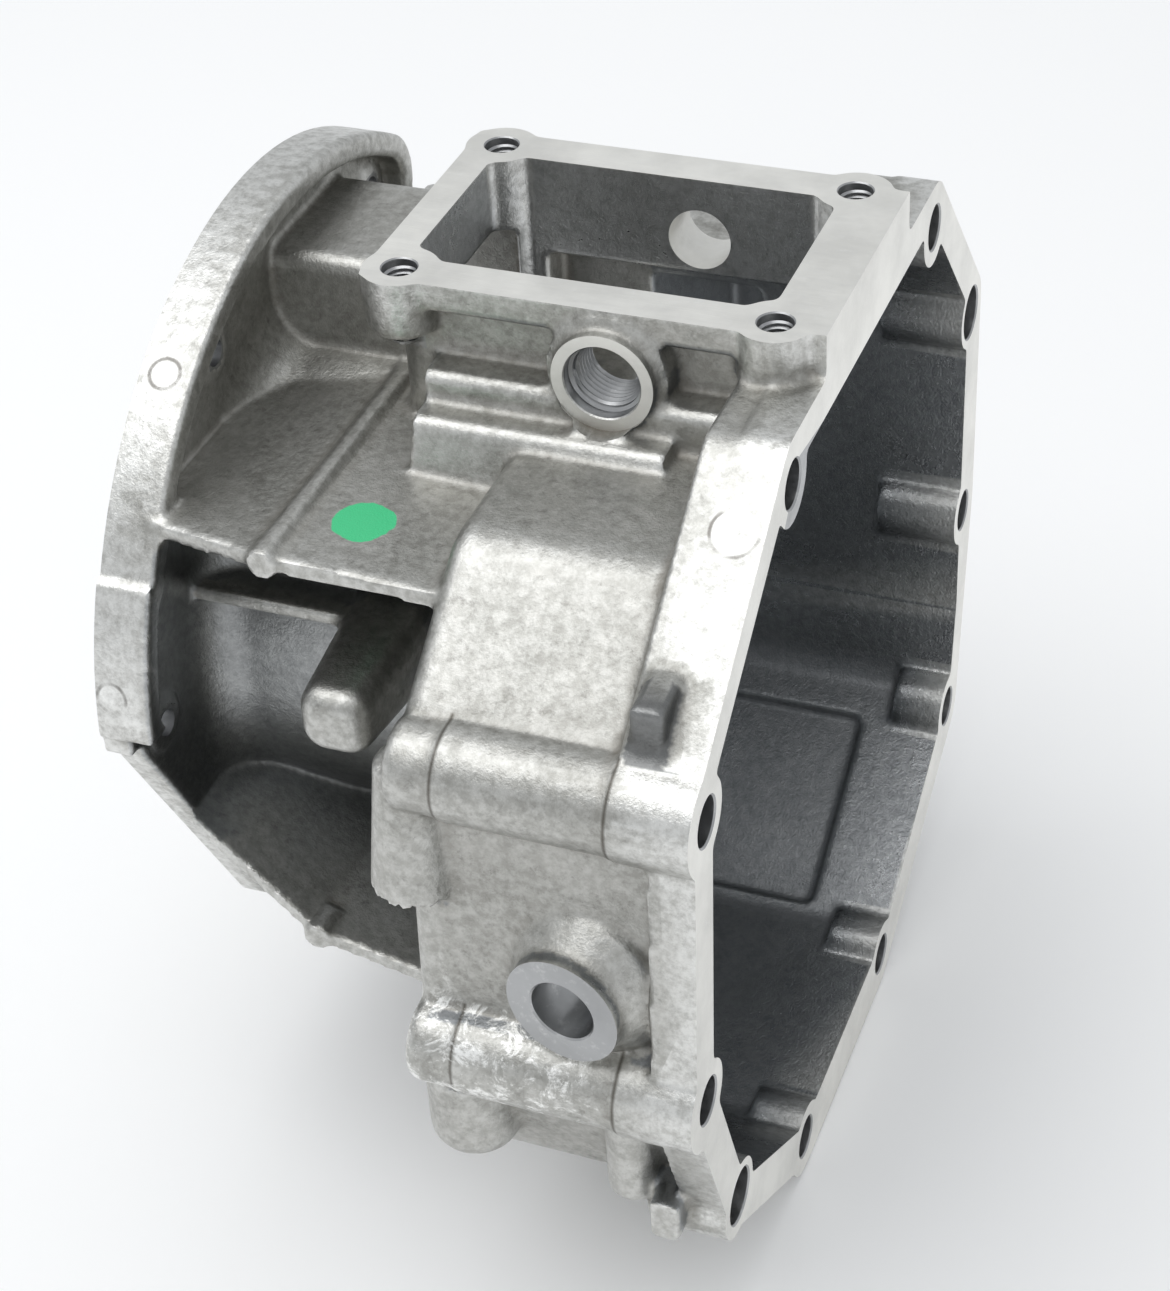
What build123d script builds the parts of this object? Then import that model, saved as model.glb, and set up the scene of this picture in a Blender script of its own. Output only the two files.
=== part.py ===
from build123d import *
import os
from math import asin, cos, degrees, hypot, radians, sin
from typing import NamedTuple

# Rear housing of a gearbox, one aluminium die casting. The shaft lies on the X axis, the rear
# joint face is X = 0, the front joint face looks along +X and the shift face looks up, +Z.
# The near side is -Y. The die halves part along Y, so side features are drawn along Y.

# Overall
length = 150.0
shift_height = 99.0
wall = 4.5
rib_wall = 4.0
cast_fillet = 3.0

# Front joint
front_rim = 10.5
case_depth = 68.0
case_rear = length - case_depth
boss_radius = 10.5
bolt_hole = 11.0
dowel_hole = 14.0
dowel_depth = 12.0
bolt_depth = 28.0
case_corner = 9.0
case_rounding = 5.0


class Bolt(NamedTuple):
    """A front joint bolt: across and up, then how far the rim's outer edge and the opening's
    edge lie outside the line to the next bolt, the boss length and the hole."""

    y: float
    z: float
    rim: float
    mouth: float
    boss: float
    hole: float


# Going round from the upper far bolt, over the top, to the lower far bolt
upper_far = Bolt(97.2, 30.9, 10.5, 0.0, 22.0, dowel_hole)
top_far = Bolt(56.3, 77.3, 11.2, 2.2, 22.0, bolt_hole)
top_near = Bolt(-56.3, 77.3, 10.5, 2.3, 18.5, bolt_hole)
upper_near = Bolt(-115.0, 34.0, 7.4, -3.6, length - case_rear, bolt_hole)
lower_near = Bolt(-119.5, -42.0, 7.8, -4.0, length - case_rear, bolt_hole)
foot_near = Bolt(-100.4, -93.4, 8.5, -3.5, 20.0, dowel_hole)
bottom_near = Bolt(-48.4, -127.5, 11.0, -5.0, 14.0, bolt_hole)
bottom_far = Bolt(21.3, -127.5, 11.0, -2.5, 14.0, bolt_hole)
foot_far = Bolt(87.4, -91.6, 10.5, 1.5, 14.0, bolt_hole)
lower_far = Bolt(97.2, -30.9, 10.5, -3.2, 22.0, bolt_hole)
front_bolts = [
    upper_far, top_far, top_near, upper_near, lower_near,
    foot_near, bottom_near, bottom_far, foot_far, lower_far,
]

# The band over the top and down to the upper near bolt is thicker than the rest of the rim;
# the bottom bosses are shorter than it
upper_band = 18.5
band_wall = 4.0

# Radius of what is left of a bolt boss inside the chamber
boss_core = 9.5

# The long near bosses grow in two steps towards the joint
long_boss_step = 0.7
long_boss_steps = [12.0, 50.0]

# Shallow pocket in the chamber's lower far wall
pocket_depth = 2.0
pocket_front = 22.0
pocket_edge = 9.0

# Shift tower: the machined face, its four tapped holes and its opening
shift_pitch_x = 86.5
shift_pitch_y = 60.0
shift_setback = 11.9
shift_tap = 6.8
shift_tap_mouth = 8.6
shift_tap_depth = 18.0
shift_plate = 7.0
shift_ear = 8.6
shift_ear_depth = 15.0
shift_side = 35.8
shift_depth = 106.0
shift_rear = length - shift_depth
shift_front_side = 32.6
opening_depth = 97.9
opening_rear = length - opening_depth
opening_setback = 14.1
opening_front = length - opening_setback
opening_side = 25.3
opening_boss = 9.0
tower_floor = 46.0

# Steps of the roof from the tower down to the slanted walls: shoulder, ledge and roof
steps_depth = 91.0
steps_rear = length - steps_depth
shoulder_side = 39.0
shoulder_top = 78.5
ledge_setback = 32.0
ledge_front = length - ledge_setback
ledge_side = 46.5
ledge_foot = 52.0
ledge_bottom = 56.0
ledge_top = 71.5
roof_top = 68.0
roof_corner = 14.0

# Rear joint: a plate round six bolts, fuller over the top, where it carries a raised rim
rear_radius = 100.5
rear_plate = 7.0
rear_rim = 13.4
rear_rim_wall = 6.0
rear_rim_end = 175.0
rear_rim_step = 1.5
rear_rim_step_arc = 21.5
rear_bolt_circle = 86.0
rear_bolt_count = 6
rear_bolt_first = 58.0
rear_ear = 10.0
rear_hole = 6.8
rear_pad = 6.5
rear_pad_height = 8.0
full_arc = 120.0

# Centre tube, its bore and the bearing carrier that closes the case behind
tube_radius = 62.0
tube_root = 12.0
bore_radius = 52.0
bearing_radius = 40.0
bearing_carrier = 12.0

# Spine along the top between the tower and the rear joint
spine_near = -9.0
spine_far = 32.0
spine_height = 85.0
spine_fillet = 4.0

# Ribs between the rear joint and the case, each an edge line in side view
rib_reach = 90.0
far_rib_reach = 80.0
rim_reach = 82.0
rib_pad_setback = 40.3
rib_pad_x = case_rear - rib_pad_setback
rib_pad_radius = 3.6
rib_pad_proud = 1.0
rib_pad_depth = 9.0
upper_rib = [(rear_plate, 57.5), (rib_pad_x, 60.0), (case_rear + wall, 58.5)]
lower_rib = [(rear_plate, -29.0), (rib_pad_x, -49.0), (case_rear + wall, -59.0)]
crease_height = 1.5
keel_reach = 80.0

# Threaded boss in the near wall of the tower and the hole facing it in the far wall
plug_setback = 48.0
plug_x = length - plug_setback
plug_z = 83.5
plug_face = 40.0
plug_radius = 11.8
plug_collar = 14.2
plug_collar_face = 37.0
plug_tap = 14.5
plug_mouth = 17.6
plug_mouth_depth = 3.0
far_plug_hole = 15.0
far_plug_boss = 12.0
far_plug_face = 40.0

# Tilted boss with a plain hole, low on the near wall
sensor_setback = 29.3
sensor_x = length - sensor_setback
sensor_z = -16.0
sensor_face = 128.0
sensor_radius = 13.5
sensor_hole = 15.0
sensor_tilt = 8.6
sensor_length = 18.0
sensor_root = 5.5
sensor_root_height = 6.0
sensor_proud = 9.5

# Tapered square lug beside the tube, and the web that ties it to the rear joint
lug_setback = 26.5
lug_x = case_rear - lug_setback
lug_z = 19.5
lug_root = 23.0
lug_tip = 16.5
lug_corner = 6.0
lug_rounding = 5.0
lug_start = 45.0
lug_end = 95.0
tie_y = 66.0
tie_z = 26.0
tie_wall = 3.5

# Upright boss under the upper near bolt boss
post_inset = 1.5
post_x = case_rear + post_inset
post_y = 114.5
post_radius = 10.3
post_bottom = 0.5
post_taper = 6.0

# Hanging feet low on the near side
big_foot_inset = 5.7
big_foot_x = case_rear + big_foot_inset
big_foot_radius = 11.0
big_foot_bottom = -85.5
small_foot_setback = 23.0
small_foot_x = length - small_foot_setback
small_foot_radius = 6.6
small_foot_bottom = -91.0
foot_y = 107.0
foot_top = -61.0
foot_rounding = 0.6

# Square lugs on the upper and lower bands
square_lug_setback = 12.7
square_lug_x = length - square_lug_setback
square_lug_width = 7.4
square_lug_height = 11.6
upper_lug_z = 52.5
upper_lug_reach = 114.0
lower_lug_z = -89.0
lower_lug_reach = 117.0
square_lug_root = 80.0
square_lug_corner = 1.5


def along(sketch, start, end):
    """A section across the shaft, given in Y and Z, drawn from X = start to X = end."""
    return extrude(Plane.YZ.offset(start) * sketch, end - start, dir=(1, 0, 0))


def sideways(sketch, near, far):
    """A side view, given in X and Z, drawn from Y = near to Y = far."""
    return extrude(Plane.XZ.offset(-far) * sketch, far - near, dir=(0, -1, 0))


def upright(sketch, bottom, top):
    """A plan view, given in X and Y, drawn from Z = bottom to Z = top."""
    return extrude(Plane.XY.offset(bottom) * sketch, top - bottom, dir=(0, 0, 1))


def disc(y, z, radius):
    return Pos(y, z) * Circle(radius)


def beside_line(start, end, gap):
    """Start point and direction of the line that runs gap outside start to end."""
    run = hypot(end[0] - start[0], end[1] - start[1])
    u, v = (end[0] - start[0]) / run, (end[1] - start[1]) / run
    return start[0] + v * gap, start[1] - u * gap, u, v


def corners_outside(points, gaps):
    """Corners of the polygon whose sides lie at the given gaps outside the sides of points."""
    sides = [
        beside_line(point, points[(i + 1) % len(points)], gaps[i])
        for i, point in enumerate(points)
    ]
    corners = []
    for i, (x1, y1, u1, v1) in enumerate(sides):
        x2, y2, u2, v2 = sides[i - 1]
        t = ((x2 - x1) * v2 - (y2 - y1) * u2) / (u1 * v2 - v1 * u2)
        corners.append((x1 + u1 * t, y1 + v1 * t))
    return corners


def bolt_polygon(gaps, corner):
    """The polygon round the front bolts, with rounded corners."""
    centres = [(bolt.y, bolt.z) for bolt in front_bolts]
    sketch = Polygon(*corners_outside(centres, gaps), align=None)
    return fillet(sketch.vertices(), corner)


def front_outline():
    outline = bolt_polygon([bolt.rim for bolt in front_bolts], case_corner)
    for bolt in front_bolts:
        outline += disc(bolt.y, bolt.z, boss_radius)
    top = shift_height - top_near.z
    outline += Pos(0, top_near.z + top / 2) * Rectangle(2 * shift_front_side, top)
    return outline


def case_outline():
    return bolt_polygon([bolt.mouth + wall for bolt in front_bolts], case_corner + wall)


def mouth_outline():
    return bolt_polygon([bolt.mouth for bolt in front_bolts], case_corner)


def front_joint():
    """The rim, the thick upper band and the bolt bosses behind it."""
    joint = along(front_outline(), length - front_rim, length)
    band = make_hull((disc(upper_near.y, upper_near.z, boss_radius)
                      + disc(top_near.y, top_near.z, boss_radius)
                      + disc(top_far.y, top_far.z, boss_radius)).edges())
    joint += along(band, length - upper_band, length)
    for bolt in front_bolts:
        if bolt.boss > upper_band:
            boss = along(disc(bolt.y, bolt.z, boss_radius), length - bolt.boss, length)
            joint += fillet(boss.faces().sort_by(Axis.X)[0].edges(), cast_fillet)
    for bolt in (upper_near, lower_near):
        for i, start in enumerate(long_boss_steps):
            radius = boss_radius + (i + 1) * long_boss_step
            joint += along(disc(bolt.y, bolt.z, radius), case_rear + start, length)
    return joint


def step(side, top, foot, bottom, gap):
    """Cross section of one step of the roof, gap inside its outer skin."""
    section = Polygon((side - gap, top - gap), (foot - gap, bottom), (gap - foot, bottom),
                      (gap - side, top - gap), align=None)
    return fillet(section.vertices().group_by(Axis.Y)[-1], cast_fillet)


def shoulder(gap):
    return step(shoulder_side, shoulder_top, shoulder_side, tower_floor, gap)


def ledge(gap):
    return step(ledge_side, ledge_top, ledge_foot, ledge_bottom, gap)


def under_roof(outline, gap):
    """The part of an outline across the case that lies gap below the top of the roof, whose
    corners are well rounded."""
    size = 4 * shift_height
    below = outline & (Pos(0, roof_top - gap - size / 2) * Rectangle(size, size))
    return fillet(below.vertices().group_by(Axis.Y)[-1], roof_corner - gap)


def case():
    """The main chamber's outer skin with the stepped roof beside the tower."""
    body = along(under_roof(case_outline(), 0), case_rear, length)
    body = fillet(body.faces().sort_by(Axis.X)[0].edges(), case_rounding)
    body += along(shoulder(0), steps_rear, length - upper_band)
    return body + along(ledge(0), steps_rear, ledge_front)


def tower():
    """Walls under the shift face and the machined plate with its ears."""
    side = opening_side + wall
    rear = opening_rear - wall
    plan = Pos((rear + length) / 2, 0) * Rectangle(length - rear, 2 * side)
    plan = fillet(plan.vertices().group_by(Axis.X)[0], case_corner)
    body = upright(plan, tower_floor, shift_height)
    plate = Pos((shift_rear + length - shift_setback) / 2, 0) * Rectangle(
        length - shift_setback - shift_rear, 2 * shift_side
    )
    plate += Pos((shift_rear + length) / 2 + shift_setback, 0) * Rectangle(
        length - shift_rear - 2 * shift_setback, 2 * shift_front_side
    )
    body += upright(plate, shift_height - shift_plate, shift_height)
    for x, y in shift_bolts():
        ear = upright(Pos(x, y) * Circle(shift_ear), shift_height - shift_ear_depth, shift_height)
        body += fillet(ear.faces().sort_by(Axis.Z)[0].edges(), cast_fillet)
    return body


def shift_bolts():
    front = length - shift_setback
    return [
        (x, y)
        for x in (front - shift_pitch_x, front)
        for y in (-shift_pitch_y / 2, shift_pitch_y / 2)
    ]


def rear_bolts():
    step = 360 / rear_bolt_count
    angles = [radians(rear_bolt_first + i * step) for i in range(rear_bolt_count)]
    return [(rear_bolt_circle * cos(a), rear_bolt_circle * sin(a)) for a in angles]


def sector(radius, first, last):
    """The slice of a disc about the shaft between two angles in degrees."""
    start, middle, end = (
        (radius * cos(a), radius * sin(a))
        for a in (radians(first), radians((first + last) / 2), radians(last))
    )
    return make_face(Line((0, 0), start) + ThreePointArc(start, middle, end) + Line(end, (0, 0)))


def rear_discs(radius):
    return Sketch() + [disc(y, z, radius) for y, z in rear_bolts()]


def ear_angle(radius):
    """Half of the angle that a round ear takes up, seen from the shaft."""
    return degrees(asin(radius / rear_bolt_circle))


def rear_joint():
    """The plate round the bolts and the raised rim round its upper arc."""
    last = rear_bolt_first + full_arc
    outline = make_hull(rear_discs(rear_ear).edges())
    outline += sector(rear_radius, rear_bolt_first, last)
    outline += sector(rear_radius + rear_rim_step, rear_rim_end - rear_rim_step_arc, rear_rim_end)
    far_ear = rear_radius - rear_bolt_circle
    outline += disc(*rear_bolts()[0], far_ear)
    ring = outline - offset(outline, -rear_rim_wall, kind=Kind.ARC)
    ring &= sector(2 * rear_radius, rear_bolt_first - ear_angle(far_ear), rear_rim_end)
    holes = rear_discs(rear_hole / 2)
    joint = along(outline - holes, 0, rear_plate)
    joint += along(rear_discs(rear_pad) - holes, 0, rear_pad_height)
    return joint + along(ring - rear_discs(rear_pad), 0, rear_rim)


def centre_tube():
    """The tube round the shaft, with the wide root that blends it into the rear joint."""
    root, end = rear_plate + tube_root, case_rear + wall
    reach = tube_radius + tube_root
    slant = tube_root * (1 - cos(radians(45)))
    profile = make_face(
        Polyline((root, tube_radius), (end, tube_radius), (end, 0), (0, 0), (0, reach),
                 (rear_plate, reach))
        + ThreePointArc((rear_plate, reach), (rear_plate + slant, tube_radius + slant),
                        (root, tube_radius))
    )
    return revolve(Plane.XZ * profile, Axis.X)


def spine():
    width = spine_far - spine_near
    section = Pos(spine_near + width / 2, spine_height / 2) * Rectangle(width, spine_height)
    section = fillet(section.vertices().group_by(Axis.Y)[-1], spine_fillet)
    return along(section, 0, opening_rear)


def rib(edge_line, near_reach, far_reach):
    """A rib whose side view is the edge line, from one reach across to the other."""
    lower = [(x, z - rib_wall) for x, z in reversed(edge_line)]
    web = sideways(Polygon(*edge_line, *lower, align=None), -near_reach, far_reach)
    start, middle, end = (point[0] for point in edge_line)
    plan = Polygon(
        (start, -rim_reach), (middle, -near_reach), (end, -near_reach),
        (end, far_reach), (middle, far_reach), (start, min(rim_reach, far_reach)),
        align=None,
    )
    return web & upright(plan, -shift_height, shift_height)


def ribs():
    body = rib(upper_rib, rib_reach, far_rib_reach) + rib(lower_rib, rib_reach, far_rib_reach)
    for line in (upper_rib, lower_rib):
        pad_z = line[1][1] - rib_wall / 2
        near = -rib_reach - rib_pad_proud
        body += sideways(Pos(rib_pad_x, pad_z) * Circle(rib_pad_radius), near, near + rib_pad_depth)
    crease = Pos(rib_pad_x, upper_rib[1][1]) * Rectangle(rib_wall, 2 * crease_height)
    body += sideways(crease, -rib_reach, spine_near)
    keel = Pos(0, -(tube_radius + keel_reach) / 2) * Rectangle(
        rib_wall, keel_reach - tube_radius + 2 * wall
    )
    return body + along(keel, rear_plate, case_rear + wall)


def plug_bosses():
    """The threaded boss on the near side with its cast collar, and the plain far one."""
    near = sideways(Pos(plug_x, plug_z) * Circle(plug_collar), -plug_collar_face, -opening_side)
    near += sideways(Pos(plug_x, plug_z) * Circle(plug_radius), -plug_face, -opening_side)
    far = sideways(Pos(plug_x, plug_z) * Circle(far_plug_boss), opening_side, far_plug_face)
    return near + far


def sensor_frame(depth):
    """A plane across the tilted boss, depth behind its face."""
    tilt = radians(sensor_tilt)
    out = (-sin(tilt), -cos(tilt), 0)
    face = (sensor_x, -sensor_face, sensor_z)
    return Plane(origin=[f - o * depth for f, o in zip(face, out)], z_dir=out)


def sensor_boss():
    boss = extrude(sensor_frame(sensor_length) * Circle(sensor_radius), sensor_length)
    slope = degrees(asin(sensor_root / hypot(sensor_root, sensor_root_height)))
    root = extrude(sensor_frame(sensor_proud) * Circle(sensor_radius + sensor_root),
                   sensor_root_height, taper=slope)
    foot = extrude(sensor_frame(sensor_length) * Circle(sensor_radius + sensor_root),
                   sensor_length - sensor_proud)
    return boss + root + foot


def lug():
    """The tapered lug pointing to the near side, with its rounded tip and its tie web."""
    taper = loft([
        Plane.XZ.offset(out) * Pos(lug_x, lug_z) * RectangleRounded(size, size, lug_corner)
        for out, size in ((lug_start, lug_root), (lug_end, lug_tip))
    ])
    taper = fillet(taper.faces().sort_by(Axis.Y)[0].edges(), lug_rounding)
    tie = Pos((rear_plate + lug_x) / 2, tie_z) * Rectangle(lug_x - rear_plate, tie_wall)
    return taper + sideways(tie, -tie_y, -lug_start)


def post():
    end = Plane.XY.offset(post_bottom) * Pos(post_x, -post_y) * Circle(post_radius)
    return extrude(end, upper_near.z - post_bottom, dir=(0, 0, 1), taper=post_taper)


def foot(x, radius, bottom):
    """An upright boss with a rounded bottom, hanging under the lower near bolt boss."""
    body = upright(Pos(x, -foot_y) * Circle(radius), bottom, foot_top)
    return fillet(body.faces().sort_by(Axis.Z)[0].edges(), radius * foot_rounding)


def square_lug(z, reach):
    view = Pos(square_lug_x, z) * RectangleRounded(
        square_lug_width, square_lug_height, square_lug_corner
    )
    return sideways(view, -reach, -square_lug_root)


def chamber():
    """The open room in front of the rear wall, with the bolt bosses left standing in it."""
    pocket_start = length - upper_band + band_wall
    room = along(under_roof(mouth_outline(), wall), case_rear + wall, length)
    room += along(mouth_outline(), pocket_start, length)
    room += along(shoulder(wall), steps_rear + wall, length)
    room += along(ledge(wall), case_rear + wall, ledge_front - wall)
    room += far_pocket()
    for bolt in front_bolts:
        room -= along(disc(bolt.y, bolt.z, boss_core), length - bolt.boss, length)
    return room


def far_pocket():
    """The shallow pocket along the wall between the bottom far and foot far bolts."""
    start, end = (bottom_far.y, bottom_far.z), (foot_far.y, foot_far.z)
    y, z, u, v = beside_line(start, end, bottom_far.mouth)
    run = hypot(end[0] - start[0], end[1] - start[1])
    depth = length - pocket_front - case_rear - wall
    outward = Plane(origin=(case_rear + wall + depth / 2, y + u * run / 2, z + v * run / 2),
                    x_dir=(1, 0, 0), z_dir=(0, v, -u))
    face = outward * RectangleRounded(depth, run - 2 * pocket_edge, cast_fillet)
    return extrude(face, pocket_depth, both=True)


def inside():
    """Everything that is open inside: the chamber, the tower, the spine and the tube."""
    well = Pos((opening_rear + opening_front) / 2, 0) * RectangleRounded(
        opening_front - opening_rear, 2 * opening_side, cast_fillet
    )
    for x, y in shift_bolts():
        well -= Pos(x, y) * Circle(opening_boss)
    spine_room = Pos((spine_near + spine_far) / 2, (tower_floor + spine_height - wall) / 2)
    spine_room = spine_room * Rectangle(
        spine_far - spine_near - 2 * wall, spine_height - wall - tower_floor
    )
    room = chamber() + upright(well, tower_floor, shift_height)
    room += along(spine_room, rear_plate, opening_rear + wall)
    room += along(Circle(bore_radius), 0, case_rear + wall - bearing_carrier)
    return room + along(Circle(bearing_radius), 0, case_rear + 2 * wall)


def front_holes():
    holes = Part()
    for bolt in front_bolts:
        depth = min(bolt_depth, bolt.boss - wall)
        holes += along(disc(bolt.y, bolt.z, bolt_hole / 2), length - depth, length)
        if bolt.hole > bolt_hole:
            holes += along(disc(bolt.y, bolt.z, bolt.hole / 2), length - dowel_depth, length)
    return holes


def shift_holes():
    holes = []
    for x, y in shift_bolts():
        centre = Pos(x, y)
        holes.append(upright(centre * Circle(shift_tap / 2), shift_height - shift_tap_depth,
                             shift_height))
        mouth = (shift_tap_mouth - shift_tap) / 2
        holes.append(loft([
            Plane.XY.offset(shift_height - mouth) * centre * Circle(shift_tap / 2),
            Plane.XY.offset(shift_height) * centre * Circle(shift_tap_mouth / 2),
        ]))
    return holes


def side_holes():
    centre = Pos(plug_x, plug_z)
    tap = sideways(centre * Circle(plug_tap / 2), -plug_face, -opening_side + wall)
    mouth = sideways(centre * Circle(plug_mouth / 2), -plug_face, -plug_face + plug_mouth_depth)
    far = sideways(centre * Circle(far_plug_hole / 2), opening_side - wall, far_plug_face)
    sensor = extrude(sensor_frame(2 * sensor_length) * Circle(sensor_hole / 2), 2 * sensor_length)
    return [tap, mouth, far, sensor]


def tail_housing():
    body = front_joint() + case() + tower() + rear_joint() + centre_tube() + spine()
    body += ribs()
    body += plug_bosses()
    body += sensor_boss()
    body += lug()
    body += post()
    body += foot(big_foot_x, big_foot_radius, big_foot_bottom)
    body += foot(small_foot_x, small_foot_radius, small_foot_bottom)
    body += square_lug(upper_lug_z, upper_lug_reach)
    body += square_lug(lower_lug_z, lower_lug_reach)
    body -= inside()
    body -= front_holes()
    for hole in shift_holes() + side_holes():
        body -= hole
    return body


os.makedirs("parts", exist_ok=True)
export_step(tail_housing(), "parts/tail_housing.step")
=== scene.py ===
import math

import bmesh
import bpy
import numpy as np
from mathutils import Matrix, Vector


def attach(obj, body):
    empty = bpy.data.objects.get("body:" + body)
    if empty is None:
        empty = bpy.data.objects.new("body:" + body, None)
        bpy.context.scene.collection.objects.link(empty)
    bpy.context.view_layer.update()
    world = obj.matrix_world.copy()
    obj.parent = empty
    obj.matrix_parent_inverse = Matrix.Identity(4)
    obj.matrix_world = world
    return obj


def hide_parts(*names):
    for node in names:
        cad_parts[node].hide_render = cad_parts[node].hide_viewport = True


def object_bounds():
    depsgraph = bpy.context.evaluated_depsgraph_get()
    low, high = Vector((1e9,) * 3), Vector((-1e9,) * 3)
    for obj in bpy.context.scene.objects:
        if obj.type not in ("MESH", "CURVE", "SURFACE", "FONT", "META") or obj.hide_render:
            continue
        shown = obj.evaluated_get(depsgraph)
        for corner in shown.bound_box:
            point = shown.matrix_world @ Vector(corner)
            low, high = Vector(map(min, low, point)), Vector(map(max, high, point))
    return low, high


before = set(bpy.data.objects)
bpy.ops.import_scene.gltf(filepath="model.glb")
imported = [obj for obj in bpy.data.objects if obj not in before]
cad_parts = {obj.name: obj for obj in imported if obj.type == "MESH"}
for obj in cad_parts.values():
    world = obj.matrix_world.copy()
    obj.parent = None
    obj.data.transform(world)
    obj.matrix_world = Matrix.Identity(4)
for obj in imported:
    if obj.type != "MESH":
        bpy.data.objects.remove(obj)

cad_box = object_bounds()


# The raw casting.
# Aluminium shot into a steel die: every corner is rounded, and the faces that will be milled
# come out of the die with a few millimetres of extra metal on them.
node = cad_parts["tail_housing"]
housing = node.copy()
housing.data = node.data.copy()
housing.name = "housing_casting"
bpy.context.scene.collection.objects.link(housing)
housing.parent = None
housing.matrix_world = Matrix.Identity(4)
for key in list(housing.keys()):
    del housing[key]

TO_FRONT = Vector((1, 0, 0))
UP = Vector((0, 0, 1))
SENSOR_TILT = math.radians(8.6)
SENSOR_OUT = Vector((-math.sin(SENSOR_TILT), -math.cos(SENSOR_TILT), 0))
FRONT_X = 0.150
SHIFT_Z = 0.099

# Milled faces: a point on each, the way it looks, and how far from the point it reaches
MILLED = {
    "front joint": (Vector((FRONT_X, 0, 0)), Vector((1, 0, 0)), 1.0),
    "rear joint": (Vector((0, 0, 0)), Vector((-1, 0, 0)), 1.0),
    "shift face": (Vector((0.095, 0, SHIFT_Z)), Vector((0, 0, 1)), 0.075),
    "plug face": (Vector((0.102, -0.040, 0.0835)), Vector((0, -1, 0)), 0.013),
    "far plug face": (Vector((0.102, 0.040, 0.0835)), Vector((0, 1, 0)), 0.013),
    "sensor face": (Vector((0.1207, -0.128, -0.016)), SENSOR_OUT, 0.014),
}
plug_mouth, plug_out = MILLED["plug face"][:2]
far_mouth, far_out = MILLED["far plug face"][:2]
sensor_mouth, sensor_out = MILLED["sensor face"][:2]

# The metal left for milling, and how near to a plane a face must be to lie on it
STOCK = 0.003
ON_PLANE = 3e-5

# Bolt holes of the front joint: across, up, depth, and whether a dowel sleeve fits its mouth
FRONT_HOLES = [
    (0.0972, 0.0309, 0.0175, True), (0.0563, 0.0773, 0.0175, False),
    (-0.0563, 0.0773, 0.0140, False), (-0.1150, 0.0340, 0.0280, False),
    (-0.1195, -0.0420, 0.0280, False), (-0.1004, -0.0934, 0.0155, True),
    (-0.0484, -0.1275, 0.0095, False), (0.0213, -0.1275, 0.0095, False),
    (0.0874, -0.0916, 0.0095, False), (0.0972, -0.0309, 0.0175, False),
]
SHIFT_HOLES = [(x, y) for x in (0.0516, 0.1381) for y in (-0.030, 0.030)]
REAR_CIRCLE = 0.086
REAR_ANGLES = [math.radians(58 + 60 * i) for i in range(6)]
REAR_HOLES = [(REAR_CIRCLE * math.cos(a), REAR_CIRCLE * math.sin(a)) for a in REAR_ANGLES]

# Radii and depths that the holes of each kind share
BOLT_R = 0.0055
DOWEL_R = 0.0070
DOWEL_DEPTH = 0.0120
TAP_R = 0.0034
THREAD_R = 0.0040
THREAD_MOUTH_R = 0.0043
THREAD_MOUTH_DEPTH = 0.0009
PLUG_SEAT_R = 0.0088
PLUG_SEAT_DEPTH = 0.0030
PLUG_R = 0.0080
PLAIN_R = 0.0076
SENSOR_R = 0.0075

# A filling is a little deeper and wider than its hole, so that no slit is left round it
SPARE_DEPTH = 0.0005
SPARE_R = 0.0001


def standing(point, out):
    """Puts a shape at a point, with its own Z turned the way out."""
    return Matrix.Translation(point) @ out.to_track_quat("Z", "Y").to_matrix().to_4x4()


def apply_changes(piece):
    """Keeps the mesh as its modifiers leave it."""
    graph = bpy.context.evaluated_depsgraph_get()
    mesh = bpy.data.meshes.new_from_object(piece.evaluated_get(graph))
    piece.modifiers.clear()
    piece.data = mesh


def add_stock(shape, point, out, reach):
    """Raises a face that will be milled by the extra metal left on it."""
    faces = [
        face for face in shape.faces
        if face.normal.dot(out) > 0.999
        and abs((face.calc_center_median() - point).dot(out)) < ON_PLANE
        and (face.calc_center_median() - point).length < reach
    ]
    raised = bmesh.ops.extrude_face_region(shape, geom=faces)
    corners = [part for part in raised["geom"] if isinstance(part, bmesh.types.BMVert)]
    bmesh.ops.translate(shape, verts=corners, vec=out * STOCK)
    bmesh.ops.delete(shape, geom=[face for face in faces if face.is_valid], context="FACES")


def fill_hole(shape, mouth, out, radius, depth):
    """The casting has no hole yet where one will be drilled: fills it, flush with the stock."""
    bmesh.ops.create_cone(shape, cap_ends=True, segments=48, radius1=radius + SPARE_R,
                          radius2=radius + SPARE_R, depth=depth + STOCK,
                          matrix=standing(mouth + out * (STOCK - depth) / 2, out))


casting = bmesh.new()
casting.from_mesh(housing.data)
bmesh.ops.remove_doubles(casting, verts=casting.verts, dist=1e-6)
for place in MILLED.values():
    add_stock(casting, *place)
bmesh.ops.recalc_face_normals(casting, faces=casting.faces)
for y, z, depth, dowel in FRONT_HOLES:
    mouth = Vector((FRONT_X, y, z))
    fill_hole(casting, mouth, TO_FRONT, BOLT_R, depth + SPARE_DEPTH)
    if dowel:
        fill_hole(casting, mouth, TO_FRONT, DOWEL_R, DOWEL_DEPTH + SPARE_DEPTH)
for x, y in SHIFT_HOLES:
    mouth = Vector((x, y, SHIFT_Z))
    fill_hole(casting, mouth, UP, THREAD_MOUTH_R, THREAD_MOUTH_DEPTH + SPARE_DEPTH)
    fill_hole(casting, mouth, UP, TAP_R, 0.0185)
for y, z in REAR_HOLES:
    fill_hole(casting, Vector((0, y, z)), -TO_FRONT, TAP_R, 0.0080)
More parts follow.
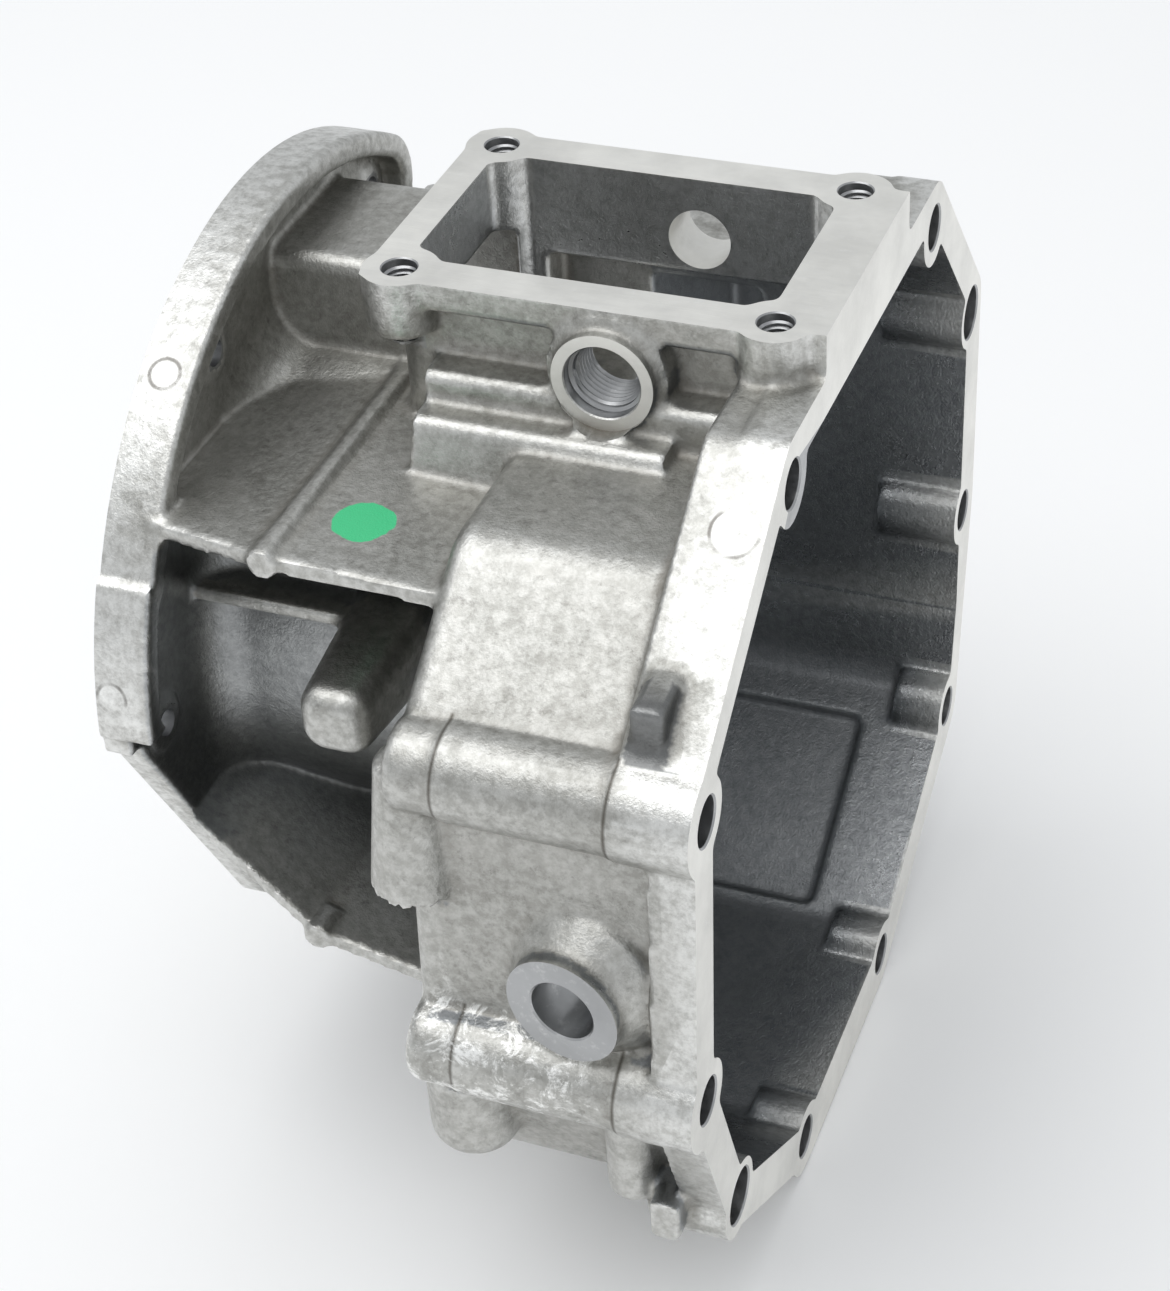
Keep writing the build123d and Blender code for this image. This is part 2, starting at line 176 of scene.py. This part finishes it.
fill_hole(casting, plug_mouth, plug_out, PLUG_SEAT_R, PLUG_SEAT_DEPTH + SPARE_DEPTH)
fill_hole(casting, plug_mouth, plug_out, PLUG_R, 0.0147)
fill_hole(casting, far_mouth, far_out, PLAIN_R, 0.0147)
fill_hole(casting, sensor_mouth, sensor_out, SENSOR_R, 0.0150)
casting.to_mesh(housing.data)
casting.free()
housing.data.materials.clear()

die = housing.modifiers.new("die_corners", "REMESH")
die.mode = "VOXEL"
die.voxel_size = 0.0009
soft = housing.modifiers.new("soft_corners", "SMOOTH")
soft.factor = 0.5
soft.iterations = 5
apply_changes(housing)


# The broken end of the upright post.
# The post is the stub of a gate, where the metal ran in. It was knocked off after casting and
# never dressed, so its end is ragged.
POST_X, POST_Y = 0.0835, -0.1145
RAGGED_TO = 0.0011


def ripple(x, y, z):
    """A rough, repeatable unevenness between -1 and 1."""
    return (
        np.sin(x * 2100 + 3 * np.sin(y * 900)) + np.sin(y * 2700 + 2 * np.sin(z * 1300))
        + np.sin((x + z) * 3900)
    ) / 3


def read(items, what, wide, kind=float):
    """A row of numbers for each vertex, edge or face."""
    values = np.empty(len(items) * wide, dtype=kind)
    items.foreach_get(what, values)
    return values.reshape(-1, wide)


spots = read(housing.data.vertices, "co", 3)
beside_post = np.hypot(spots[:, 0] - POST_X, spots[:, 1] - POST_Y)
broken = (beside_post < 0.0115) & (spots[:, 1] < -0.1085)
broken &= (spots[:, 2] < 0.006) & (spots[:, 2] > -0.003)
ragged = ripple(spots[:, 0], spots[:, 1], spots[:, 2])
fading = np.clip(1 - (spots[:, 2] - 0.0005) / 0.0055, 0, 1)
spots[broken, 2] += (ragged * RAGGED_TO * fading)[broken]
housing.data.vertices.foreach_set("co", spots.ravel())
housing.data.update()


# Milling and drilling.
# The joint faces are milled flat and the holes drilled after casting, so their edges are
# crisp; every hole has its sharp mouth broken with a countersink.
PROUD = 0.006
DRILL_POINT = 0.0001
SHAFT_R = 0.0521
BEARING_R = 0.0401
BEARING_FACE = Vector((0.0865, 0, 0))
TRIANGLES = 180000


def block(point, out, depth, width):
    """What a face mill takes off in front of a face."""
    shape = bmesh.new()
    size = Matrix.Diagonal((width, width, depth, 1))
    bmesh.ops.create_cube(shape, size=1, matrix=standing(point + out * depth / 2, out) @ size)
    return shape


def drill(mouth, out, rings, sides=72):
    """What a drill takes out: rings of radius and distance from the mouth, outermost first."""
    shape = bmesh.new()
    place = standing(mouth, out)
    rows = []
    for radius, rise in rings:
        rows.append([
            shape.verts.new(place @ Vector((
                radius * math.cos(2 * math.pi * i / sides),
                radius * math.sin(2 * math.pi * i / sides), rise)))
            for i in range(sides)
        ])
    for upper, lower in zip(rows, rows[1:]):
        for i in range(sides):
            j = (i + 1) % sides
            shape.faces.new((upper[i], upper[j], lower[j], lower[i]))
    shape.faces.new(rows[0])
    shape.faces.new(list(reversed(rows[-1])))
    bmesh.ops.recalc_face_normals(shape, faces=shape.faces)
    return shape


def mouth_rings(radius, edge, proud=PROUD):
    """A drill's first rings, which break the edge of its hole."""
    return [(radius + edge, proud), (radius + edge, 0), (radius, -edge)]


def cutter(name, shapes):
    """One tool object made of shapes that don't touch each other."""
    mesh = bpy.data.meshes.new(name)
    whole = bmesh.new()
    for shape in shapes:
        part = bpy.data.meshes.new(name)
        shape.to_mesh(part)
        shape.free()
        whole.from_mesh(part)
        bpy.data.meshes.remove(part)
    whole.to_mesh(mesh)
    whole.free()
    tool = bpy.data.objects.new(name, mesh)
    bpy.context.scene.collection.objects.link(tool)
    return tool


def machine(piece, tools):
    """Takes the tools' shapes off the piece, then clears the tools away."""
    for tool in tools:
        cut = piece.modifiers.new(tool.name, "BOOLEAN")
        cut.operation = "DIFFERENCE"
        cut.solver = "MANIFOLD"
        cut.object = tool
    apply_changes(piece)
    for tool in tools:
        mesh = tool.data
        bpy.data.objects.remove(tool)
        bpy.data.meshes.remove(mesh)


front_drills = []
for y, z, depth, dowel in FRONT_HOLES:
    rings = mouth_rings(DOWEL_R if dowel else BOLT_R, 0.0004)
    if dowel:
        rings += [(DOWEL_R, -DOWEL_DEPTH), (BOLT_R, -DOWEL_DEPTH - 0.0001)]
    rings += [(BOLT_R, -depth), (DRILL_POINT, -depth - 0.0030)]
    front_drills.append(drill(Vector((FRONT_X, y, z)), TO_FRONT, rings, 48))

shift_rings = mouth_rings(THREAD_R, 0.0003) + [(THREAD_R, -0.0168), (DRILL_POINT, -0.0190)]
shift_drills = [drill(Vector((x, y, SHIFT_Z)), UP, shift_rings, 48) for x, y in SHIFT_HOLES]
rear_rings = mouth_rings(TAP_R, 0.0004) + [(TAP_R, -0.0110)]
rear_drills = [drill(Vector((0, y, z)), -TO_FRONT, rear_rings, 48) for y, z in REAR_HOLES]

plug_rings = mouth_rings(PLUG_SEAT_R, 0.0003) + [
    (PLUG_SEAT_R, -PLUG_SEAT_DEPTH), (PLUG_R, -0.0034), (PLUG_R, -0.0190)]
plain_rings = mouth_rings(PLAIN_R, 0.0002) + [(PLAIN_R, -0.0170)]
sensor_rings = mouth_rings(SENSOR_R, 0.0004) + [(SENSOR_R, -0.0330)]
side_drills = [
    drill(plug_mouth, plug_out, plug_rings, 96),
    drill(far_mouth, far_out, plain_rings, 96),
    drill(sensor_mouth, sensor_out, sensor_rings, 96),
]
shaft_rings = mouth_rings(SHAFT_R, 0.0009) + [(SHAFT_R, -0.0745)]
bearing_rings = mouth_rings(BEARING_R, 0.0008, 0.004) + [(BEARING_R, -0.016)]
side_mills = [
    drill(point, out, [(radius, PROUD), (radius, 0)])
    for point, out, radius in (
        (plug_mouth, plug_out, 0.0119), (far_mouth, far_out, 0.0121),
        (sensor_mouth, sensor_out, 0.0138))
]

machine(housing, [
    cutter("front_mill", [block(*MILLED["front joint"][:2], PROUD, 0.5)]),
    cutter("rear_mill", [block(*MILLED["rear joint"][:2], PROUD, 0.5)]),
    cutter("top_mill", [block(Vector((0.100, 0, SHIFT_Z)), UP, PROUD, 0.125)]),
    cutter("side_mills", side_mills),
    cutter("front_drills", front_drills + rear_drills),
    cutter("top_and_side_drills", shift_drills + side_drills),
    cutter("shaft_bore", [drill(Vector((0, 0, 0)), -TO_FRONT, shaft_rings, 160)]),
    cutter("bearing_bore", [drill(BEARING_FACE, TO_FRONT, bearing_rings, 160)]),
])

lighten = housing.modifiers.new("fewer_triangles", "DECIMATE")
lighten.ratio = TRIANGLES / sum(len(face.vertices) - 2 for face in housing.data.polygons)
apply_changes(housing)


# Threads.
# Cut with a tap in the plug boss, with a fine pitch, and in the four holes of the shift face,
# with a coarse one. Each is a ridge that winds down the wall of its hole.
CRISP = math.radians(38)


def thread(mouth, out, root, crest, pitch, length, sides=40):
    """The ridge of an inside thread, wound down from just under the mouth."""
    shape = bmesh.new()
    place = standing(mouth, out)
    rows = []
    for i in range(int(length / pitch * sides) + 1):
        angle = 2 * math.pi * i / sides
        down = -pitch * (i / sides) - pitch * 0.5
        fade = min(1, i / sides)
        rows.append([
            shape.verts.new(place @ Vector((r * math.cos(angle), r * math.sin(angle), down + step)))
            for r, step in (
                (root + 0.0001, pitch * 0.48),
                (root + (crest - root) * fade, pitch * 0.07),
                (root + (crest - root) * fade, -pitch * 0.07),
                (root + 0.0001, -pitch * 0.48),
            )
        ])
    for a, b in zip(rows, rows[1:]):
        for k in range(3):
            shape.faces.new((a[k], b[k], b[k + 1], a[k + 1]))
    mesh = bpy.data.meshes.new("thread")
    shape.to_mesh(mesh)
    shape.free()
    return mesh


threads = [thread(plug_mouth - plug_out * PLUG_SEAT_DEPTH, plug_out, root=PLUG_R, crest=0.00725,
                  pitch=0.0015, length=0.0112, sides=64)]
for x, y in SHIFT_HOLES:
    threads.append(thread(Vector((x, y, SHIFT_Z - THREAD_MOUTH_DEPTH)), UP, root=THREAD_R,
                          crest=TAP_R, pitch=0.00125, length=0.0150))

whole = bmesh.new()
whole.from_mesh(housing.data)
body_faces = len(whole.faces)
for mesh in threads:
    whole.from_mesh(mesh)
    bpy.data.meshes.remove(mesh)
whole.to_mesh(housing.data)
whole.free()
housing.data.shade_smooth()
housing.data.set_sharp_from_angle(angle=CRISP)


# Where the skin is worn, dirty, or given painted shade and painted highlights.
# Grime and painted shade lie in the hollow corners, and handling's polish with a painted highlight
# lies on the outer edges; both are measured on the mesh itself. The rest is marked by where it lies
# on the casting.
mesh = housing.data
spots = read(mesh.vertices, "co", 3)
outward = read(mesh.vertices, "normal", 3)
pairs = read(mesh.edges, "vertices", 2, np.int64)
count = len(mesh.vertices)
neighbours = np.bincount(pairs.ravel(), minlength=count).clip(1)


def spread(values):
    """Each vertex takes half its own value and half its neighbours' mean."""
    total = np.stack([
        np.bincount(pairs[:, 0], weights=values[pairs[:, 1], k], minlength=count)
        + np.bincount(pairs[:, 1], weights=values[pairs[:, 0], k], minlength=count)
        for k in range(values.shape[1])
    ], axis=1)
    return 0.5 * values + 0.5 * total / neighbours[:, None]


def mark(name, values):
    """Stores one number for each vertex, for the materials to read."""
    layer = mesh.attributes.new(name, "FLOAT", "POINT")
    layer.data.foreach_set("value", values.astype(np.float32))


def between(values, low, high):
    return (values > low) & (values < high)


even = spots.copy()
for turn in range(10):
    even = spread(even)
curve = ((even - spots) * outward).sum(axis=1)[:, None]
for turn in range(2):
    curve = spread(curve)
curve = curve[:, 0]
# The hollow measure brings oil stain and painted shade; the edge measure brings rubbed wear and a
# painted highlight
mark("hollow", np.clip(curve / 0.0009, 0, 1))
mark("edge", np.clip(-curve / 0.0007, 0, 1))

# Places that light hardly enters: the chamber, the tower, the spine and behind the rear rim
x, y, z = spots.T
off_axis = np.hypot(y, z)
in_chamber = (x > 0.0860) & (np.abs(x - FRONT_X) > 0.0002)
toward_axis = (outward[:, 1] * y + outward[:, 2] * z) / np.maximum(off_axis, 1e-6)
inner = in_chamber & (toward_axis < 0.15) & (off_axis > 0.03)
in_tower = between(x, 0.0516, 0.1364) & (np.abs(y) < 0.0258) & between(z, 0.010, 0.0988)
in_spine = between(x, 0.0005, 0.0530) & between(y, -0.0045, 0.0240) & between(z, 0.0525, 0.081)
shaded = np.where(np.abs(outward[:, 0]) > 0.7, 0.8, 0.4)
under_rib = (y < -0.010) & (z < 0.052) & between(x, 0.0050, 0.0800)
behind_rim = under_rib & (((x < 0.0150) & (outward[:, 0] > 0.3)) | (off_axis < 0.0680))
mark("inside", np.where(in_tower | in_spine, shaded, np.where(behind_rim, 0.75, inner)))

# Places of their own: the scuffed rear rim and lower boss, the dark lug, the long bosses
upper_boss = np.hypot(y - FRONT_HOLES[3][0], z - FRONT_HOLES[3][1])
lower_boss = np.hypot(y - FRONT_HOLES[4][0], z - FRONT_HOLES[4][1])
on_rim = (x < 0.0145) & (off_axis > 0.088) & (y < -0.02)
on_boss = (lower_boss < 0.0135) & (x < 0.128) & (outward[:, 1] < 0)
mark("scuff", np.where(on_rim, 0.3, 0.0) + np.where(on_boss, 1.0, 0.0))
on_lug = (np.abs(x - 0.1373) < 0.0045) & (np.abs(z - 0.0525) < 0.0066) & (y < -0.1035)
mark("smut", on_lug)
mark("long_boss", (np.minimum(upper_boss, lower_boss) < 0.0125) & between(x, 0.088, 0.137))


# The cast skin.
# Die-cast aluminium as it leaves the trim press: grey, faintly grained, streaked where the metal
# flowed, brown where oil and dust stayed in the corners and darker there by painted shade, bright
# where it rubs and brighter on its edges by a painted highlight.
SKIN_DARK = (0.30, 0.297, 0.275, 1)
SKIN_LIGHT = (0.48, 0.475, 0.45, 1)
SKIN_SPECK = (0.70, 0.70, 0.675, 1)
SOOT = (0.16, 0.155, 0.14, 1)
OIL_STAIN_AND_SHADE = (0.11, 0.092, 0.066, 1)
RUBBED_AND_HIGHLIGHT = (0.80, 0.80, 0.78, 1)
DEEP_SHADE = (0.15, 0.17, 0.20, 1)
LUG_SMUT = (0.11, 0.115, 0.12, 1)
STEP_LINE_DARK = (0.07, 0.06, 0.045, 1)
PIN_BRIGHT = (0.93, 0.93, 0.91, 1)
PIN_RING = (0.12, 0.11, 0.10, 1)
SCUFFED = (0.95, 0.95, 0.93, 1)
GREEN_PAINT = (0.055, 0.56, 0.24, 1)

MOTTLE_SCALE = 28
GRAIN_SCALE = 420
BOSS_STEPS = (0.094, 0.132)
PIN_MARKS = [
    ((0.1435, -0.0755, 0.0770), 0.0053), ((0.0060, -0.0605, 0.0828), 0.0042),
    ((0.0040, -0.1005, 0.0200), 0.0036), ((0.1408, -0.1080, -0.0779), 0.0040),
]
PAINT_PLACE = (0.0573, -0.0713, 0.0600)
PAINT_R = 0.0070


def fill(tree, made, key, value):
    """Sets or links one input; in_3 stands for the fourth input."""
    socket = made.inputs[int(key[3:])] if key.startswith("in_") else made.inputs[key]
    if isinstance(value, bpy.types.NodeSocket):
        tree.links.new(value, socket)
    else:
        socket.default_value = value


def add(tree, kind, **values):
    """A node with its settings and inputs; an input is given by its name or its number."""
    made = tree.nodes.new(kind)
    for key, value in values.items():
        if hasattr(made, key):
            setattr(made, key, value)
        else:
            fill(tree, made, key, value)
    return made


def noise(tree, where, scale, detail=4.0, rough=0.55, twist=0.0):
    """Cloudy unevenness, finer with a larger scale."""
    made = add(tree, "ShaderNodeTexNoise", Vector=where, Scale=scale, Detail=detail,
               Roughness=rough, Distortion=twist)
    return made.outputs["Fac"]


def span(tree, value, low, high, first=0.0, last=1.0):
    """Turns low to high into first to last, and goes past neither."""
    made = add(tree, "ShaderNodeMapRange", in_0=value, in_1=low, in_2=high, in_3=first,
               in_4=last)
    made.clamp = True
    return made.outputs[0]


def calc(tree, how, a, b=0.0):
    return add(tree, "ShaderNodeMath", operation=how, in_0=a, in_1=b).outputs[0]


def times(tree, a, b):
    return calc(tree, "MULTIPLY", a, b)


def blend(tree, share, a, b):
    """Colour a with a share of colour b over it."""
    return add(tree, "ShaderNodeMix", data_type="RGBA", in_0=share, in_6=a, in_7=b).outputs[2]


def place_of(tree, stretch=(1, 1, 1)):
    """Where a point lies on the housing, in metres."""
    where = tree.nodes.new("ShaderNodeTexCoord").outputs["Object"]
    return add(tree, "ShaderNodeMapping", Vector=where, Scale=stretch).outputs[0]


def measured(tree, name):
    """A number stored on the mesh by mark."""
    return add(tree, "ShaderNodeAttribute", attribute_name=name).outputs["Fac"]


def apart(tree, point):
    """Distance from a point of the housing."""
    where = tree.nodes.new("ShaderNodeTexCoord").outputs["Object"]
    made = add(tree, "ShaderNodeVectorMath", operation="DISTANCE", in_0=where, in_1=point)
    return made.outputs["Value"]


def new_group(name, takes, gives):
    """An effect that several materials place, with what it takes and what it gives."""
    group = bpy.data.node_groups.new(name, "ShaderNodeTree")
    for title, kind in takes:
        group.interface.new_socket(name=title, in_out="INPUT", socket_type=kind)
    for title in gives:
        group.interface.new_socket(name=title, in_out="OUTPUT", socket_type="NodeSocketFloat")
    return group, group.nodes.new("NodeGroupInput"), group.nodes.new("NodeGroupOutput")


def new_material(name):
    """A material with its node tree and its surface shader."""
    material = bpy.data.materials.new(name)
    material.use_nodes = True
    tree = material.node_tree
    return material, tree, tree.nodes["Principled BSDF"]


grain, start, end = new_group(
    "casting_grain", [("Mottle", "NodeSocketFloat"), ("Grain", "NodeSocketFloat")],
    ["Tone", "Speck", "Height"])
where = place_of(grain)
broad = noise(grain, where, start.outputs["Mottle"], 5, 0.6, 0.6)
fine = noise(grain, where, start.outputs["Grain"], 6, 0.7)
sand = noise(grain, where, 1500, 3, 0.6)
pits = noise(grain, where, 160, 8, 0.75, 0.4)
tone = calc(grain, "ADD", times(grain, broad, 0.55), times(grain, pits, 0.45))
height = calc(grain, "ADD", times(grain, fine, 0.6), times(grain, sand, 0.4))
grain.links.new(tone, end.inputs["Tone"])
grain.links.new(fine, end.inputs["Speck"])
grain.links.new(height, end.inputs["Height"])

skin, tree, shader = new_material("cast_skin")
made = add(tree, "ShaderNodeGroup", node_tree=grain, Mottle=MOTTLE_SCALE, Grain=GRAIN_SCALE)
tone, speck, height = (made.outputs[k] for k in ("Tone", "Speck", "Height"))
colour = blend(tree, span(tree, tone, 0.38, 0.62), SKIN_DARK, SKIN_LIGHT)
colour = blend(tree, span(tree, speck, 0.42, 0.62, 0.0, 0.40), colour, SKIN_SPECK)
sooty = span(tree, noise(tree, place_of(tree), 330, 7, 0.75, 0.3), 0.54, 0.70, 0.0, 0.55)
colour = blend(tree, sooty, colour, SOOT)
# The brown in hollow corners is oil stain and painted shade in one
stain_and_shade = times(tree, measured(tree, "hollow"), span(tree, tone, 0.35, 0.6, 0.45, 1.0))
colour = blend(tree, stain_and_shade, colour, OIL_STAIN_AND_SHADE)
# The pale on outer edges is rubbed wear and a painted highlight in one
rubbed_and_highlight = times(tree, measured(tree, "edge"), span(tree, speck, 0.3, 0.6, 0.15, 0.75))
colour = blend(tree, rubbed_and_highlight, colour, RUBBED_AND_HIGHLIGHT)
shade = times(tree, measured(tree, "inside"), 0.58)
colour = blend(tree, shade, colour, DEEP_SHADE)

# The die left the upper square lug darker and smoother than the skin round it
colour = blend(tree, times(tree, measured(tree, "smut"), 0.75), colour, LUG_SMUT)

# The long bosses step up twice towards the joint; a dark line is painted round them at each step
along = add(tree, "ShaderNodeSeparateXYZ", Vector=place_of(tree)).outputs["X"]
for step in BOSS_STEPS:
    off = calc(tree, "ABSOLUTE", calc(tree, "SUBTRACT", along, step))
    line = span(tree, off, 0.0001, 0.0007, 0.75, 0.0)
    colour = blend(tree, times(tree, line, measured(tree, "long_boss")), colour, STEP_LINE_DARK)

# Ejector pins left shallow round marks: bright inside, with a dark line round them
pin_ring, pin_face = 0.0, 0.0
for point, radius in PIN_MARKS:
    away = apart(tree, point)
    off = calc(tree, "ABSOLUTE", calc(tree, "SUBTRACT", away, radius))
    line = calc(tree, "SUBTRACT", 1.0, span(tree, off, 0.0002, 0.0006))
    disc = span(tree, away, radius - 0.0006, radius, 1.0, 0.0)
    pin_ring = calc(tree, "MAXIMUM", pin_ring, line)
    pin_face = calc(tree, "MAXIMUM", pin_face, disc)
patchy = span(tree, noise(tree, place_of(tree), 260, 5, 0.7), 0.35, 0.6)
colour = blend(tree, times(tree, pin_face, times(tree, patchy, 0.7)), colour, PIN_BRIGHT)
gaps = span(tree, noise(tree, place_of(tree), 130, 2), 0.4, 0.55)
colour = blend(tree, times(tree, times(tree, pin_ring, gaps), 0.75), colour, PIN_RING)

# Handling has flaked and scuffed the skin bright on the rear rim and the lower bolt boss
flaked = span(tree, noise(tree, place_of(tree), 150, 9, 0.8, 0.5), 0.50, 0.60)
colour = blend(tree, times(tree, measured(tree, "scuff"), flaked), colour, SCUFFED)

# A dab of green inspection paint on the upper rib, with an uneven rim
waver = span(tree, noise(tree, place_of(tree), 260, 2), 0.3, 0.7, -0.0004, 0.0004)
dab = calc(tree, "ADD", apart(tree, PAINT_PLACE), waver)
paint = span(tree, dab, PAINT_R, PAINT_R + 0.0003, 1.0, 0.0)
colour = blend(tree, paint, colour, GREEN_PAINT)

# Stained and painted-shade hollows are duller, rubbed and highlighted edges and sheltered skin
# smoother; paint and the hollows' stain and painted shade hide the metal
rough = span(tree, tone, 0.3, 0.7, 0.45, 0.33)
rough = calc(tree, "ADD", rough, times(tree, stain_and_shade, 0.3))
rough = calc(tree, "SUBTRACT", rough, times(tree, rubbed_and_highlight, 0.08))
rough = calc(tree, "SUBTRACT", rough, times(tree, shade, 0.12))
covered = calc(tree, "MAXIMUM", paint, times(tree, stain_and_shade, 0.5))
metal = calc(tree, "SUBTRACT", 1.0, covered)
bump = add(tree, "ShaderNodeBump", Strength=0.45, Distance=0.0006, Height=height)
tree.links.new(colour, shader.inputs["Base Color"])
tree.links.new(rough, shader.inputs["Roughness"])
tree.links.new(metal, shader.inputs["Metallic"])
tree.links.new(bump.outputs[0], shader.inputs["Normal"])


# Milled and drilled metal.
# Bare aluminium, bright, with the fine marks that the cutter left on it. A face mill leaves a pale
# face, and a drill leaves a smoother wall, which is given a darker copy of the metal as painted
# shade.
FACE_METAL = (0.90, 0.89, 0.85, 1)
SHADED_WALL_METAL = (0.42, 0.425, 0.43, 1)
BRIGHT_SPECK = (0.93, 0.93, 0.91, 1)
SKIN_SLOT, FACE_SLOT, SHADED_WALL_SLOT = 0, 1, 2

tool_marks, start, end = new_group(
    "tool_marks", [("Stretch", "NodeSocketVector")], ["Lines", "Cloud"])
lines = noise(tool_marks, place_of(tool_marks, start.outputs["Stretch"]), 400, 3, 0.6)
cloud = noise(tool_marks, place_of(tool_marks), 45, 4, 0.6)
tool_marks.links.new(lines, end.inputs["Lines"])
tool_marks.links.new(cloud, end.inputs["Cloud"])


def bare_metal(name, base, rough, stretch, strength):
    """Cut aluminium; the stretch draws the marks out along the way that the tool went."""
    bare, tree, shader = new_material(name)
    cast = add(tree, "ShaderNodeGroup", node_tree=grain, Mottle=MOTTLE_SCALE, Grain=GRAIN_SCALE)
    marks = add(tree, "ShaderNodeGroup", node_tree=tool_marks, Stretch=stretch)
    lines, cloud = marks.outputs["Lines"], marks.outputs["Cloud"]
    darker = tuple(0.84 * part for part in base[:3]) + (1,)
    colour = blend(tree, span(tree, cloud, 0.35, 0.65), darker, base)
    specks = span(tree, cast.outputs["Speck"], 0.55, 0.75, 0.0, 0.3)
    colour = blend(tree, specks, colour, BRIGHT_SPECK)
    shader.inputs["Metallic"].default_value = 1.0
    tree.links.new(colour, shader.inputs["Base Color"])
    tree.links.new(span(tree, lines, 0.3, 0.7, rough, rough + 0.12), shader.inputs["Roughness"])
    bump = add(tree, "ShaderNodeBump", Strength=strength, Distance=0.0002, Height=lines)
    tree.links.new(bump.outputs[0], shader.inputs["Normal"])
    return bare


milled = bare_metal("milled_face", FACE_METAL, 0.40, (0.3, 3.0, 3.0), 0.25)
# The darker base colour of the drilled walls is painted shade
drilled = bare_metal("shaded_drilled_wall", SHADED_WALL_METAL, 0.28, (1.0, 1.0, 1.0), 0.15)
mesh.materials.clear()
for material in (skin, milled, drilled):
    mesh.materials.append(material)

centres = read(mesh.polygons, "center", 3)
facing = read(mesh.polygons, "normal", 3)


def rise_over(point, out):
    """How far the middle of each face lies past a point, measured the way out."""
    return (centres - np.array(point)) @ np.array(out)


def away_from(point):
    """How far the middle of each face lies from a point."""
    return np.linalg.norm(centres - np.array(point), axis=1)


def wall_of(mouth, out, radius, first, last):
    """Faces on the wall of a hole, between two distances from its mouth."""
    rise = rise_over(mouth, out)
    across = centres - np.array(mouth) - rise[:, None] * np.array(out)
    inside = np.linalg.norm(across, axis=1) < radius
    return inside & (rise < -first) & (rise > -last)


slots = np.full(len(mesh.polygons), SKIN_SLOT, dtype=np.int32)
for point, out, reach in MILLED.values():
    flush = (np.abs(rise_over(point, out)) < ON_PLANE) & (facing @ np.array(out) > 0.995)
    slots[flush & (away_from(point) < reach)] = FACE_SLOT

# Drilled walls, given the darker metal as painted shade: mouth, way out, a radius just past the
# wall, and the stretch that shows metal
holes = [(Vector((FRONT_X, y, z)), TO_FRONT, 0.0078 if dowel else 0.0062, 0.0, depth + 0.004)
         for y, z, depth, dowel in FRONT_HOLES]
holes += [(Vector((x, y, SHIFT_Z)), UP, 0.0048, 0.0, 0.020) for x, y in SHIFT_HOLES]
holes += [(Vector((0, y, z)), -TO_FRONT, 0.0042, 0.0, 0.0085) for y, z in REAR_HOLES]
holes += [
    (plug_mouth, plug_out, 0.0090, 0.0002, 0.0150),
    (sensor_mouth, sensor_out, 0.0080, 0.0, 0.0200),
    (Vector((0, 0, 0)), -TO_FRONT, 0.0522, 0.0, 0.0746),
    (BEARING_FACE, TO_FRONT, 0.0410, 0.0, 0.0121),
]
for hole in holes:
    slots[wall_of(*hole)] = SHADED_WALL_SLOT

# The far bore's wall takes the pale face metal as a painted highlight of the light coming through
# it. The threads and the sensor boss's face take the darker metal as painted shade
slots[wall_of(far_mouth, far_out, 0.0079, 0.0, 0.0130)] = FACE_SLOT
slots[body_faces:] = SHADED_WALL_SLOT
sensor_flush = np.abs(rise_over(sensor_mouth, sensor_out)) < ON_PLANE
slots[sensor_flush & (away_from(sensor_mouth) < 0.014)] = SHADED_WALL_SLOT
mesh.polygons.foreach_set("material_index", slots)
mesh.update()

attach(housing, "root")
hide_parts("tail_housing")


# The studio.
# A plain pale paper floor under soft light from a large box overhead, in a pale room. The
# camera looks at the near side of the housing from above, as the photograph does.
FLOOR_GAP = 0.0004
BOX_PLACE = Vector((-0.35, -0.40, 1.50))
BOX_TARGET = Vector((0.06, 0, 0))
BOX_SIDE = 1.5

low = cad_box[0][2] - FLOOR_GAP
corners = [(-6, -6, low), (6, -6, low), (6, 6, low), (-6, 6, low)]
floor_mesh = bpy.data.meshes.new("floor")
floor_mesh.from_pydata(corners, [], [(0, 1, 2, 3)])
floor = bpy.data.objects.new("floor", floor_mesh)
bpy.context.scene.collection.objects.link(floor)
paper, tree, shader = new_material("pale_paper")
cloud = noise(tree, place_of(tree), 3, 3)
colour = blend(tree, cloud, (0.93, 0.93, 0.93, 1), (0.95, 0.95, 0.95, 1))
tree.links.new(colour, shader.inputs["Base Color"])
shader.inputs["Roughness"].default_value = 0.8
shader.inputs["Emission Color"].default_value = (1, 1, 1, 1)
shader.inputs["Emission Strength"].default_value = 0.05
floor_mesh.materials.append(paper)

lamp = bpy.data.lights.new("overhead_box", "AREA")
lamp.shape = "RECTANGLE"
lamp.size = BOX_SIDE
lamp.size_y = BOX_SIDE
lamp.energy = 13
softbox = bpy.data.objects.new("overhead_box", lamp)
softbox.location = BOX_PLACE
softbox.rotation_euler = (BOX_TARGET - BOX_PLACE).to_track_quat("-Z", "Y").to_euler()
bpy.context.scene.collection.objects.link(softbox)

world = bpy.data.worlds.new("studio")
world.use_nodes = True
room = world.node_tree.nodes["Background"]
room.inputs["Color"].default_value = (0.82, 0.84, 0.86, 1)
room.inputs["Strength"].default_value = 0.84
bpy.context.scene.world = world
bpy.context.scene.view_settings.view_transform = "Standard"

lens = bpy.data.cameras.new("camera")
lens.sensor_fit = "HORIZONTAL"
lens.sensor_width = 36.0
lens.lens = 83.702
lens.clip_end = 30.0
camera = bpy.data.objects.new("camera", lens)
camera.location = (0.28955, -0.50146, 0.39320)
camera.rotation_euler = (0.918205, 0.050784, 0.361526)
bpy.context.scene.collection.objects.link(camera)
bpy.context.scene.camera = camera
